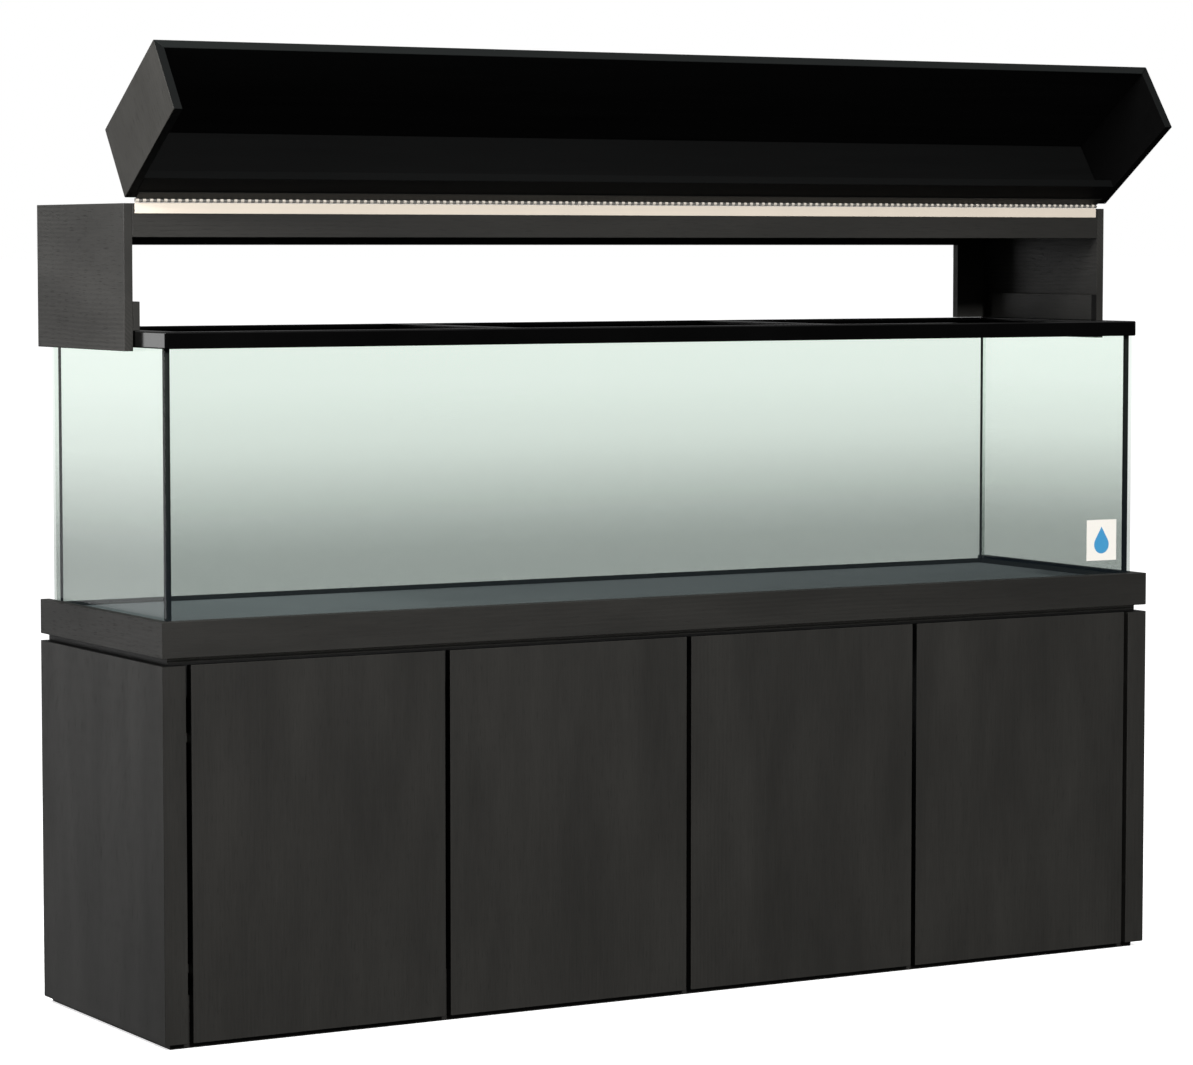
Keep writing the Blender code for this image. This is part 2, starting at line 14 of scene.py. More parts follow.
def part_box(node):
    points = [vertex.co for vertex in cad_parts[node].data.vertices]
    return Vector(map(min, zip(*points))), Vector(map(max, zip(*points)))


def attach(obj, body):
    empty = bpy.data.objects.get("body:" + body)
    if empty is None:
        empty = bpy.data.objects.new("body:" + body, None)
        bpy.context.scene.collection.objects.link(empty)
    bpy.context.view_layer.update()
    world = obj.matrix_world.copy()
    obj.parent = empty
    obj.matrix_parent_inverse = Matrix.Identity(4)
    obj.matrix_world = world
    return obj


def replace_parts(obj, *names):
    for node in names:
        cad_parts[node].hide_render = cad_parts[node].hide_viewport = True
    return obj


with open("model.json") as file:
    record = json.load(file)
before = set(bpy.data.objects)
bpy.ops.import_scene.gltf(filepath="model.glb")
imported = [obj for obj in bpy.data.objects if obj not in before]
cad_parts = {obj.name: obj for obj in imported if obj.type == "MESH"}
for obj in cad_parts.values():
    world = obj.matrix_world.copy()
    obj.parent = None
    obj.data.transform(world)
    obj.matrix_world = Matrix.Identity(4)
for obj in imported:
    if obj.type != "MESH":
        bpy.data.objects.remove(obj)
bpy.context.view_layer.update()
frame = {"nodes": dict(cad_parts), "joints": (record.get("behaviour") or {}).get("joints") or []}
nodes = frame["nodes"]
scene = bpy.context.scene

# --- Camera ---------------------------------------------------------------------
# A long lens in front of the left-hand corner, a little above the tank's rim.
camera = bpy.data.objects.new("camera", bpy.data.cameras.new("camera"))
scene.collection.objects.link(camera)
camera.location = (-4.520, -7.717, 1.628)
camera.rotation_euler = (math.radians(90 - 4.07), 0, math.radians(-30.10))
camera.data.lens = 121.4
camera.data.clip_end = 1000
scene.camera = camera


# --- Studio ---------------------------------------------------------------------
# A white room with a white floor, dark below the horizon as the object sees it, with a
# bright patch at eye level behind on the left.  One small soft light stands off the
# left-hand end, and a broad, distant one hangs high in front.
class Wire:
    """An output socket of a node tree, on which Python's operators add Math nodes."""

    def __init__(self, graph, socket):
        self.graph = graph
        self.socket = socket

    def math(self, operation, *others):
        """A Math node with this value as its first operand."""
        wires = {index: value for index, value in enumerate((self, *others))}
        return self.graph.add("ShaderNodeMath", {"operation": operation}, wires)

    def flipped(self, operation, other):
        """The same with this value as the second operand."""
        return self.graph.add("ShaderNodeMath", {"operation": operation}, {0: other, 1: self})

    def __add__(self, other):
        return self.math("ADD", other)

    def __radd__(self, other):
        return self.math("ADD", other)

    def __sub__(self, other):
        return self.math("SUBTRACT", other)

    def __rsub__(self, other):
        return self.flipped("SUBTRACT", other)

    def __mul__(self, other):
        return self.math("MULTIPLY", other)

    def __rmul__(self, other):
        return self.math("MULTIPLY", other)

    def __truediv__(self, other):
        return self.math("DIVIDE", other)

    def __pow__(self, other):
        return self.math("POWER", other)

    def wave(self):
        """A sine of this value, from 0 to 1."""
        return self.math("SINE") * 0.5 + 0.5

    def step(self, low, high):
        """0 at low and 1 at high, smooth between them."""
        settings = {"interpolation_type": "SMOOTHSTEP"}
        sockets = {"Value": self, "From Min": low, "From Max": high}
        return self.graph.add("ShaderNodeMapRange", settings, sockets)


class Graph:
    """A node tree that is written as expressions."""

    def __init__(self, owner):
        self.owner = owner
        owner.use_nodes = True
        self.tree = owner.node_tree
        self.tree.nodes.clear()

    def add(self, kind, settings=None, sockets=None, out=0):
        """Add a node: its settings first, then the values or wires of its sockets."""
        node = self.tree.nodes.new(kind)
        for key, value in (settings or {}).items():
            if key == "stops":
                self.set_stops(node.color_ramp, value)
            else:
                setattr(node, key, value)
        for key, value in (sockets or {}).items():
            if isinstance(value, Wire):
                self.tree.links.new(value.socket, node.inputs[key])
            else:
                node.inputs[key].default_value = value
        return Wire(self, node.outputs[out]) if node.outputs else None

    def set_stops(self, ramp, stops):
        """Place a colour ramp's stops."""
        while len(ramp.elements) < len(stops):
            ramp.elements.new(1.0)
        for element, (place, grey) in zip(ramp.elements, stops):
            element.position = place
            element.color = (grey, grey, grey, 1.0)

    def ramp(self, factor, stops):
        """A grey that follows stops, each a place and how light the grey is there."""
        return self.add("ShaderNodeValToRGB", {"stops": stops}, {"Fac": factor})

    def coordinates(self):
        """Where a point of the piece is, in metres."""
        return self.add("ShaderNodeTexCoord", out="Object")

    def reach(self, direction):
        """How far a point of the piece lies along a direction."""
        return self.along(self.coordinates(), tuple(direction))

    def times(self, vector, factors):
        """A vector multiplied by three numbers."""
        return self.add("ShaderNodeVectorMath", {"operation": "MULTIPLY"}, {0: vector, 1: factors})

    def along(self, vector, direction):
        """How far a vector reaches along a direction."""
        settings = {"operation": "DOT_PRODUCT"}
        return self.add("ShaderNodeVectorMath", settings, {0: vector, 1: direction}, "Value")

    def noise(self, vector, scale=1.0, detail=2.0, roughness=0.5, distortion=0.0):
        """Soft random patches, from 0 to 1."""
        sockets = {"Vector": vector, "Scale": scale, "Detail": detail,
                   "Roughness": roughness, "Distortion": distortion}
        return self.add("ShaderNodeTexNoise", None, sockets)

    def blend(self, factor, first, second):
        """A mix of two colours."""
        sockets = {0: factor, 6: first, 7: second}
        return self.add("ShaderNodeMix", {"data_type": "RGBA"}, sockets, 2)

    def bump(self, height, depth, strength=1.0):
        """A normal that rises and falls with a height, depth metres for each 1."""
        sockets = {"Height": height, "Distance": depth, "Strength": strength}
        return self.add("ShaderNodeBump", None, sockets)

    def principled(self, **sockets):
        """A Principled shader, with its sockets named in lower case."""
        named = {key.replace("_", " ").title().replace("Ior", "IOR"): value
                 for key, value in sockets.items()}
        return self.add("ShaderNodeBsdfPrincipled", None, named)

    def finish(self, shader):
        """Join a shader to the output and return the material or world."""
        kind = "World" if isinstance(self.owner, bpy.types.World) else "Material"
        self.add(f"ShaderNodeOutput{kind}", None, {"Surface": shader})
        return self.owner


def rgb(red, green, blue):
    """An opaque colour."""
    return (red, green, blue, 1.0)


scene.view_settings.view_transform = "Standard"
scene.view_settings.look = "None"

ROOM_GLOW = ((0.0, 0.02), (0.50, 0.02), (0.60, 0.34), (1.0, 0.40))    # from the ground to overhead
PATCH_DIRECTION = Vector((-0.50, 0.86, -0.05)).normalized()
PATCH_EDGE = (0.978, 0.992)    # cosines of the angles at which the patch starts and is full
PATCH_GLOW = rgb(2.2, 2.2, 2.2)
room = Graph(bpy.data.worlds.new("white_room"))
scene.world = room.owner
outward = room.add("ShaderNodeTexCoord", out="Generated")
glow = room.ramp(room.along(outward, (0, 0, 1)) * 0.5 + 0.5, ROOM_GLOW)
patch = room.along(outward, tuple(PATCH_DIRECTION)).step(*PATCH_EDGE)
lighting = room.add("ShaderNodeBackground", None, {
    "Color": room.blend(patch, glow, PATCH_GLOW), "Strength": 1.0})
backdrop = room.add("ShaderNodeBackground", None, {"Color": rgb(1, 1, 1), "Strength": 1.0})
seen = room.add("ShaderNodeLightPath", out="Is Camera Ray")
room.finish(room.add("ShaderNodeMixShader", None, {0: seen, 1: lighting, 2: backdrop}))

FLOOR_SIZE = 900.0
bpy.ops.mesh.primitive_plane_add(size=FLOOR_SIZE)
floor = bpy.context.object
floor.name = "studio_floor"
floor.visible_diffuse = False
floor.visible_glossy = False
pale = Graph(bpy.data.materials.new("white_floor"))
floor.data.materials.append(pale.finish(pale.principled(
    base_color=rgb(0.95, 0.95, 0.95), roughness=0.9, specular_ior_level=0.0,
    emission_color=rgb(1.0, 1.0, 1.0), emission_strength=0.72)))


def soft_light(name, place, aim, size, watts):
    """A square area light that faces a point."""
    lamp = bpy.data.lights.new(name, "AREA")
    lamp.size = size
    lamp.energy = watts
    holder = bpy.data.objects.new(name, lamp)
    holder.location = place
    holder.rotation_euler = (Vector(aim) - Vector(place)).to_track_quat("-Z", "Y").to_euler()
    scene.collection.objects.link(holder)


soft_light("key_light", (-3.25, -0.8, 2.60), (-1.24, 0.0, 1.9), 0.8, 145)
soft_light("front_light", (-0.6, -12.6, 6.9), (0.0, -0.3, 0.9), 1.6, 1980)


# --- Veneered boards ------------------------------------------------------------
# Particle board under open-pored ash veneer, stained black-brown and sealed satin.
# Doors, sides and stiles have their grain upright, every other board along its length.
# The narrow groove between the skirt and the doors shows the neck behind it.  Painted light
# lifts the neck where the skirt shades it, and black painted shade lines the groove, the
# doors' edges and the right cleat's front end.  Some boards are darker or lighter as painted light.
RING_SPACING = 0.0095
RING_TURNS = 2 * math.pi / RING_SPACING
RING_SWAY = 26               # how far the figure bends the rings, in radians
VENEER_DARK = (0.0110, 0.0106, 0.0095)
VENEER_LIGHT = (0.0290, 0.0279, 0.0254)
PLAIN_FIGURE = 0.07
PORE_DEPTH = 0.00012
# Black: painted shade along the groove, on the doors' edges and on the right cleat's front end, and
# plain black on the doors' backs.
SHADE_AND_SEALER_BLACK = rgb(0.0015, 0.0015, 0.0014)
GRAINS = {
    "Z": ("side_panel_left", "side_panel_right", "front_stile_left", "front_stile_right",
          "center_partition", "cabinet_back", "door_1", "door_2", "door_3", "door_4"),
    "X": ("plinth_front", "plinth_back", "cabinet_floor", "neck_frame", "deck", "skirt_front",
          "canopy_rail_front", "canopy_back", "canopy_top"),
    "Y": ("plinth_left", "plinth_right", "plinth_sleeper", "skirt_left", "skirt_right",
          "canopy_end_left", "canopy_end_right", "canopy_cleat_left", "canopy_cleat_right")}
# Painted light: the sides and end skirts are darker and the doors lighter towards the right, to even out
# how the lamps light them.
PAINTED_LIGHT_BY_BOARD = {"side_panel_left": 0.77, "side_panel_right": 0.77, "skirt_left": 0.69,
          "skirt_right": 0.69, "door_2": 1.04, "door_3": 1.06, "door_4": 1.10}
FIGURES = {"canopy_end_left": 0.36, "canopy_end_right": 0.36, "skirt_left": 0.24,
           "skirt_right": 0.24}
DOOR_FACE = (0.0009, 0.0012)     # depths at which the face's finish ends and the black is full: painted shade on the edges
TOP_EDGE_SHADE = (0.0012, 0.0009)      # the same for the painted shade on a top edge, measured down from it
CLEAT_END_SHADE = (0.0008, 0.0004)     # the same for the painted shade on the cleat's front end
skirt_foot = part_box("skirt_front")[0].z
groove = skirt_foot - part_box("door_1")[1].z
NECK_FACE = (0.0020, 0.0010)     # depths within which the neck's front counts as its face
NECK_PAINTED_LIGHT_SPAN = (0.0115, 0.0010)     # below the skirt, the painted light is full at the second and gone at the first
# How far the painted light lifts the neck's face towards a pale wood.
NECK_PAINTED_LIGHT = 0.70
PAINTED_LIGHT_COLOR = rgb(0.90, 0.87, 0.80)
NECK_FOOT_SHADE = (0.0046, 0.0036)     # above the groove's foot, where the painted shade starts and is full


def grained(graph, grain, seed, turn, figured, shade):
    """Veneer on a graph: its colour, roughness and height, with the grain along one axis."""
    solid = graph.add("ShaderNodeMapping", {"vector_type": "TEXTURE"}, {
        "Vector": graph.coordinates(),
        "Location": (1.7 * seed % 5, 2.3 * seed % 7, 3.1 * seed % 6),
        "Rotation": (turn, 0, 0)})

    def stretched(along, across):
        return graph.times(solid, tuple(along if axis == grain else across for axis in "XYZ"))

    figure = graph.noise(stretched(0.8, 3.0), 1.0, 2.0, 0.45, 0.15)
    sideways = tuple(0.0 if axis == grain else 1.0 for axis in "XYZ")
    rings = (graph.along(solid, sideways) * RING_TURNS + figure * RING_SWAY).wave()
    rings = rings * graph.noise(stretched(0.7, 1.6), 1.0, 1.0).step(0.40, 0.65)
    mottle = graph.noise(stretched(2.0, 9.0), 1.0, 3.0, 0.55)
    fibre = graph.noise(stretched(14.0, 420.0), 1.0, 2.0, 0.6)
    pores = graph.noise(stretched(28.0, 900.0), 1.0, 1.0, 0.5).step(0.60, 0.72)
    tone = mottle * 0.75 + rings * figured + fibre * 0.30 - pores * 0.35 - 0.10
    dark, light = (rgb(*(part * shade for part in stain)) for stain in (VENEER_DARK, VENEER_LIGHT))
    color = graph.blend(tone.step(0.0, 1.0), dark, light)
    roughness = 0.50 + pores * 0.12 - mottle * 0.10
    relief = fibre * 0.4 + rings * 0.25 - pores
    return color, roughness, relief


def shade_and_sealer_mask(graph, node):
    """Where a board is black: painted shade along the groove, on the right cleat's front end
    and on a door's edges, and plain black on the door's back.
    """
    low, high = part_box(node)
    if node.startswith("door"):
        return graph.reach((0, 1, 0)).step(*(low.y + depth for depth in DOOR_FACE))
    if node.startswith(("side_panel", "front_stile")):
        return graph.reach((0, 0, 1)).step(*(high.z - depth for depth in TOP_EDGE_SHADE))
    if node == "neck_frame":
        return (skirt_foot - graph.reach((0, 0, 1))).step(*(groove - rise for rise in NECK_FOOT_SHADE))
    if node == "canopy_cleat_right":
        return graph.reach((0, 1, 0)).step(*(low.y + depth for depth in CLEAT_END_SHADE))
    return None


def light_painted_neck(graph, color):
    """The neck's face, with light painted on where the skirt keeps it in the shade."""
    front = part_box("neck_frame")[0].y
    shaded = (skirt_foot - graph.reach((0, 0, 1))).step(*NECK_PAINTED_LIGHT_SPAN) ** 2
    face = graph.reach((0, 1, 0)).step(*(front + depth for depth in NECK_FACE))
    return graph.blend(shaded * face * NECK_PAINTED_LIGHT, color, PAINTED_LIGHT_COLOR)


def veneer(node, grain, seed):
    """Veneer for one board."""
    graph = Graph(bpy.data.materials.new(f"veneer_{node}"))
    figured = FIGURES.get(node, PLAIN_FIGURE)
    color, roughness, relief = grained(graph, grain, seed, 0.0, figured, PAINTED_LIGHT_BY_BOARD.get(node, 1.0))
    if node == "neck_frame":
        color = light_painted_neck(graph, color)
    shade_and_sealer = shade_and_sealer_mask(graph, node)
    if shade_and_sealer:
        color = graph.blend(shade_and_sealer, color, SHADE_AND_SEALER_BLACK)
    return graph.finish(graph.principled(
        base_color=color, roughness=roughness, specular_ior_level=0.20,
        normal=graph.bump(relief, PORE_DEPTH, 0.6)))


boards = [(node, grain) for grain, names in GRAINS.items() for node in names]
for seed, (node, grain) in enumerate(boards, start=1):
    nodes[node].data.materials[0] = veneer(node, grain, seed)


# --- Lid boards -----------------------------------------------------------------
# The same veneer outside, made lighter as painted light.  The inside is dull black paint,
# and the lower edges a dark satin paint, each board's lighter or darker as painted light.
lid_joint = next(joint for joint in frame["joints"] if joint["name"] == "lid_hinge")
pin = Vector(lid_joint["pos_m"])
lid_open = math.radians(lid_joint["range_deg"][1])
opened = Matrix.Rotation(-lid_open, 4, "X")
FACE_DEPTH = 0.0011          # veneer and the broken edge of its face
RIM_PAINT = 0.0011           # how far the satin paint of the lower edges reaches
# Painted light: the lid's veneer is lighter than the other boards'.
LID_PAINTED_LIGHT = 1.15
MATT_PAINT = (rgb(0.0001, 0.0001, 0.0001), rgb(0.0005, 0.0005, 0.0005))
SATIN_PAINT = ((0.0068, 0.0082, 0.0080), (0.0096, 0.0112, 0.0108))


def lid_board(node, grain, shut_facing, seed, rim_painted_light):
    """Finish a board of the lid, given the direction that its face looks in when it is shut."""
    facing = opened @ Vector(shut_facing)
    face = max(facing.dot(vertex.co) for vertex in nodes[node].data.vertices)
    graph = Graph(bpy.data.materials.new(f"lid_finish_{node}"))
    color, roughness, relief = grained(graph, grain, seed, -lid_open, PLAIN_FIGURE, LID_PAINTED_LIGHT)
    depth = face - graph.reach(facing)
    inside = depth.step(FACE_DEPTH * 0.8, FACE_DEPTH)
    downward = opened @ Vector((0, 0, -1))
    lowest = max(downward.dot(vertex.co) for vertex in nodes[node].data.vertices)
    above_rim = lowest - graph.reach(downward)
    walls = above_rim.step(RIM_PAINT * 0.7, RIM_PAINT)
    brushed = graph.noise(graph.times(graph.coordinates(), (3.0, 60.0, 60.0)), 1.0, 2.0)
    matt = graph.blend(brushed, *MATT_PAINT)
    satin = graph.blend(brushed, *(rgb(*(rim_painted_light * part for part in coat)) for coat in SATIN_PAINT))
    paint = graph.blend(walls, satin, matt)
    paint_roughness = 0.55 + brushed * 0.2
    nodes[node].data.materials[0] = graph.finish(graph.principled(
        base_color=graph.blend(inside, color, paint),
        roughness=roughness * (1 - inside) + paint_roughness * inside,
        specular_ior_level=0.10,
        normal=graph.bump(relief * (1 - inside) + brushed * inside * 0.4, PORE_DEPTH, 0.6)))


# The last number is painted light on the lower edges, from board to board.
lid_board("lid_front", "X", (0, -1, 0), 41, 0.85)
lid_board("lid_top", "X", (0, 0, 1), 42, 0.07)
lid_board("lid_end_left", "Y", (-1, 0, 0), 43, 0.40)
lid_board("lid_end_right", "Y", (1, 0, 0), 44, 0.40)
lid_board("lid_rail", "X", (0, 0, 1), 45, 0.15)


# --- Glass panes ----------------------------------------------------------------
# Float glass with a faint green cast, bonded at its edges.  A dark film low on each pane
# paints shade onto it, darker towards the bottom and fading out upwards, and the ground
# edges catch the light.
tank_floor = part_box("glass_bottom")[1].z
pane_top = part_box("glass_front")[1].z
ARRIS = 0.0010
GLASS_TINT = rgb(0.932, 0.960, 0.940)
# A dark film painted on as shade: its colour, and its share up the pane's height.
SHADE_FILM_COLOR = rgb(0.004, 0.008, 0.013)
SHADE_FILM = ((0.0, 0.244), (0.155, 0.242), (0.231, 0.216), (0.343, 0.155), (0.456, 0.100),
        (0.569, 0.052), (0.682, 0.030), (0.797, 0.009), (0.925, 0.0))    # up the pane's height


def new_piece(name, bm, material, body):
    """Turn a finished bmesh into a piece that rides on a body."""
    mesh = bpy.data.meshes.new(name)
    bm.to_mesh(mesh)
    bm.free()
    piece = bpy.data.objects.new(name, mesh)
    scene.collection.objects.link(piece)
    mesh.materials.append(material)
    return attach(piece, body)


def add_block(bm, low, high, arris=0.0, segments=1):
    """Add a rectangular block to a bmesh, with its edges rounded if it is given an arris."""
    low, high = Vector(low), Vector(high)
    size = Matrix.Diagonal((*(high - low), 1))
    made = bmesh.ops.create_cube(bm, size=1, matrix=Matrix.Translation((low + high) / 2) @ size)
    if arris:
        edges = list({edge for vertex in made["verts"] for edge in vertex.link_edges})
        bmesh.ops.bevel(bm, geom=edges, offset=arris, segments=segments, profile=0.5,
                        affect="EDGES")


def float_glass():
    """Clear glass that lets light straight through, with a dark film of painted shade low down and a
    light gloss.
    """
    graph = Graph(bpy.data.materials.new("float_glass"))
    share = (graph.reach((0, 0, 1)) - tank_floor) / (pane_top - tank_floor)
    shade_share = graph.ramp(share, SHADE_FILM)
    clear = graph.add("ShaderNodeBsdfTransparent", None, {"Color": GLASS_TINT})
    film = graph.principled(base_color=SHADE_FILM_COLOR, roughness=0.5, specular_ior_level=0.1)
    shaded_clear = graph.add("ShaderNodeMixShader", None, {0: shade_share, 1: clear, 2: film})
    facing = graph.add("ShaderNodeLayerWeight", None, {"Blend": 0.5}, "Facing")
    gloss = graph.add("ShaderNodeBsdfGlossy", None, {"Color": rgb(1, 1, 1), "Roughness": 0.02})
    shine = (facing ** 5) * 0.15 + 0.015
    return graph.finish(graph.add("ShaderNodeMixShader", None, {0: shine, 1: shaded_clear, 2: gloss}))


def new_pane(name, node, glass):
    """A pane in place of its plain block, with its arrises ground off."""
    bm = bmesh.new()
    add_block(bm, *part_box(node), ARRIS, 2)
    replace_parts(new_piece(name, bm, glass, "stand"), node)


clear_glass = float_glass()
for side in ("front", "back", "left", "right"):
    new_pane(f"pane_{side}", f"glass_{side}", clear_glass)

# The tank's floor is thicker and lies on black foam.  Its grey is painted reflection of the panes and
# the room, seen at a glancing angle.
graph = Graph(bpy.data.materials.new("floor_glass"))
dust = graph.noise(graph.coordinates(), 7.0, 4.0, 0.6)
floor_glass = graph.finish(graph.principled(
    base_color=graph.blend(dust, rgb(0.205, 0.220, 0.238), rgb(0.260, 0.276, 0.294)),
    roughness=0.42 + dust * 0.12, specular_ior_level=0.25))
new_pane("pane_floor", "glass_bottom", floor_glass)

graph = Graph(bpy.data.materials.new("black_foam"))
cells = graph.noise(graph.coordinates(), 900.0, 2.0, 0.5)
nodes["foam_mat"].data.materials[0] = graph.finish(graph.principled(
    base_color=graph.blend(cells, rgb(0.010, 0.010, 0.010), rgb(0.022, 0.022, 0.022)),
    roughness=0.9, normal=graph.bump(cells, 0.0004)))


# --- Silicone -------------------------------------------------------------------
# Black silicone, tooled to a hollow fillet in each corner of the tank, with a thin
# film left between the panes that it bonds.
FILLET_STEPS = 5
SAG = 0.45                   # how hollow the fillet is, from a flat chamfer to a quarter round
CLOSE = 0.0003               # what keeps a piece just clear of its neighbour
BEAD = 0.010
CORNER_BEAD = 0.0038         # the upright corners are wiped almost flat
FILM_SHEET = 0.0006
REAR_FILM = 0.0030           # what shows of the film in the two rear corners
inner_low = Vector((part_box("glass_left")[1].x + CLOSE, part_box("glass_front")[1].y + CLOSE,
                    tank_floor + CLOSE))
inner_high = Vector((-inner_low.x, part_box("glass_back")[0].y - CLOSE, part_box("silicone_seal")[1].z))
# The tank's inner corners in turn, each with the two ways that lead in from it.
corners = [(inner_low.x, inner_low.y, 1, 1), (inner_high.x, inner_low.y, -1, 1),
           (inner_high.x, inner_high.y, -1, -1), (inner_low.x, inner_high.y, 1, -1)]


def fillet_outline(size):
    """The section of a hollow fillet, in its corner's own two directions."""
    outline = [(0.0, 0.0), (size, 0.0)]
    for index in range(1, FILLET_STEPS):
        angle = math.pi / 2 * index / FILLET_STEPS
        straight = 1 - index / FILLET_STEPS
        hollow = 1 - math.sin(angle)
        other = 1 - math.cos(angle)
        outline.append((size * (straight * (1 - SAG) + hollow * SAG),
                        size * ((1 - straight) * (1 - SAG) + other * SAG)))
    outline.append((0.0, size))
    return outline


def add_walls(bm, lower, upper):
    """Faces between two rows of like points."""
    for index in range(len(lower)):
        following = (index + 1) % len(lower)
        bm.faces.new((lower[index], lower[following], upper[following], upper[index]))


def add_prism(bm, rings):
    """Join two sections of like points into a closed bar."""
    lower, upper = ([bm.verts.new(point) for point in ring] for ring in rings)
    add_walls(bm, lower, upper)
    bm.faces.new(lower)
    bm.faces.new(upper)


def add_floor_bead(bm):
    """The fillet that runs round the tank's floor, mitred at its corners."""
    rows = [[bm.verts.new((x + way_x * reach, y + way_y * reach, inner_low.z + rise))
             for reach, rise in fillet_outline(BEAD)] for x, y, way_x, way_y in corners]
    for row, following_row in zip(rows, rows[1:] + rows[:1]):
        add_walls(bm, row, following_row)


def add_upright_seam(bm, x, y, way_x, way_y):
    """The fillet up one corner, and the edge of the film between its two panes."""
    outline = fillet_outline(CORNER_BEAD)
    add_prism(bm, [[(x + way_x * a, y + way_y * b, z) for a, b in outline]
                   for z in (inner_low.z + CLOSE, inner_high.z)])
    front = way_y > 0
    film_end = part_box("glass_front")[1].x - CLOSE if front else abs(x) + REAR_FILM
    film_x = sorted((x + way_x * CORNER_BEAD / 3, math.copysign(film_end, x)))
    film_y = sorted((y, y + way_y * FILM_SHEET))
    add_block(bm, (film_x[0], film_y[0], tank_floor), (film_x[1], film_y[1], inner_high.z))


bm = bmesh.new()
add_floor_bead(bm)
for corner in corners:
    add_upright_seam(bm, *corner)
bmesh.ops.recalc_face_normals(bm, faces=bm.faces)

graph = Graph(bpy.data.materials.new("tooled_silicone"))
ripple = graph.noise(graph.coordinates(), 60.0, 2.0)
tooled = graph.finish(graph.principled(
    base_color=graph.blend(ripple, rgb(0.0080, 0.0085, 0.0080), rgb(0.0140, 0.0150, 0.0145)),
    roughness=0.38 + ripple * 0.15, specular_ior_level=0.25, normal=graph.bump(ripple, 0.0004)))
seal = new_piece("silicone_fillets", bm, tooled, "stand")
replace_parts(seal, "silicone_seal")


# --- Rim ------------------------------------------------------------------------
# One black moulding over the top of the panes, with two braces across the opening.
# It keeps the moulder's fine grain and a softened edge that draws a thin highlight.
SAME_POINT = 0.00002
FLAT = math.radians(1)       # faces that meet at less than this are one face
SHARP = 0.35                 # radians, past which an edge is rounded
RIM_EDGE = 0.0006

graph = Graph(bpy.data.materials.new("moulded_black_plastic"))
grain = graph.noise(graph.coordinates(), 700.0, 2.0, 0.6)
swirl = graph.noise(graph.coordinates(), 5.0, 3.0, 0.6)
moulded = graph.finish(graph.principled(
    base_color=graph.blend(swirl, rgb(0.0004, 0.0004, 0.0004), rgb(0.0010, 0.0010, 0.0010)),
    roughness=0.10 + swirl * 0.08, specular_ior_level=0.45, normal=graph.bump(grain, 0.00005, 0.5)))
bm = bmesh.new()
bm.from_mesh(nodes["top_rim"].data)
bmesh.ops.remove_doubles(bm, verts=bm.verts, dist=SAME_POINT)
bmesh.ops.dissolve_limit(bm, angle_limit=FLAT, verts=bm.verts, edges=bm.edges)
edges = [edge for edge in bm.edges if edge.is_manifold and edge.calc_face_angle() > SHARP]
bmesh.ops.bevel(bm, geom=edges, offset=RIM_EDGE, segments=2, profile=0.5, affect="EDGES",
                clamp_overlap=True)
for face in bm.faces:
    face.smooth = False
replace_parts(new_piece("rim_moulding", bm, moulded, "stand"), "top_rim")


# --- Piano hinge ----------------------------------------------------------------
# Two strips of plated steel, rolled into knuckles that take turns along one pin.  The
# canopy's strip is pale nickel.  The lid's is near black, but for its knuckles.
LEAF_SHEET = 0.0013
KNUCKLE = 0.0045             # outer radius of the roll
KNUCKLE_LENGTH = 0.0078
KNUCKLE_NECK = 0.0021        # how far a knuckle's neck stands above the roll's foot
ROLL_STEPS = 14
ROLL_SWEEP = math.radians(318)
STRIP_ARRIS = 0.0002
ROLL_EDGE = (KNUCKLE + 0.0002, KNUCKLE + 0.0008)    # radii between which roll turns into leaf
leaf_low, leaf_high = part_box("piano_hinge_frame_leaf")


def repeat_along(name, unit, count, start, step, material):
    """A row of copies of one mesh, made by Geometry Nodes and settled into a plain mesh."""
    tree = bpy.data.node_groups.new(name, "GeometryNodeTree")
    ports = tree.interface
    ports.new_socket("Geometry", in_out="INPUT", socket_type="NodeSocketGeometry")
    count_port = ports.new_socket("Count", in_out="INPUT", socket_type="NodeSocketInt")
    start_port = ports.new_socket("Start", in_out="INPUT", socket_type="NodeSocketVector")
    step_port = ports.new_socket("Step", in_out="INPUT", socket_type="NodeSocketVector")
    ports.new_socket("Geometry", in_out="OUTPUT", socket_type="NodeSocketGeometry")
    made = {kind: tree.nodes.new(kind) for kind in (
        "NodeGroupInput", "GeometryNodeMeshLine", "GeometryNodeInstanceOnPoints",
        "GeometryNodeRealizeInstances", "GeometryNodeSetMaterial", "NodeGroupOutput")}
    entry, line, place, real, paint, leave = made.values()
    paint.inputs["Material"].default_value = material
    for source, socket, target, port in (
            (entry, "Count", line, "Count"), (entry, "Start", line, "Start Location"),
            (entry, "Step", line, "Offset"), (line, "Mesh", place, "Points"),
            (entry, "Geometry", place, "Instance"), (place, "Instances", real, "Geometry"),
            (real, "Geometry", paint, "Geometry"), (paint, "Geometry", leave, "Geometry")):
        tree.links.new(source.outputs[socket], target.inputs[port])
    row = bpy.data.objects.new(name, unit)
    scene.collection.objects.link(row)
    modifier = row.modifiers.new("row", "NODES")
    modifier.node_group = tree
    modifier[count_port.identifier] = count
    modifier[start_port.identifier] = start
    modifier[step_port.identifier] = step
    evaluated = row.evaluated_get(bpy.context.evaluated_depsgraph_get())
    settled = bpy.data.meshes.new_from_object(evaluated)
    bpy.data.objects.remove(row)
    return settled


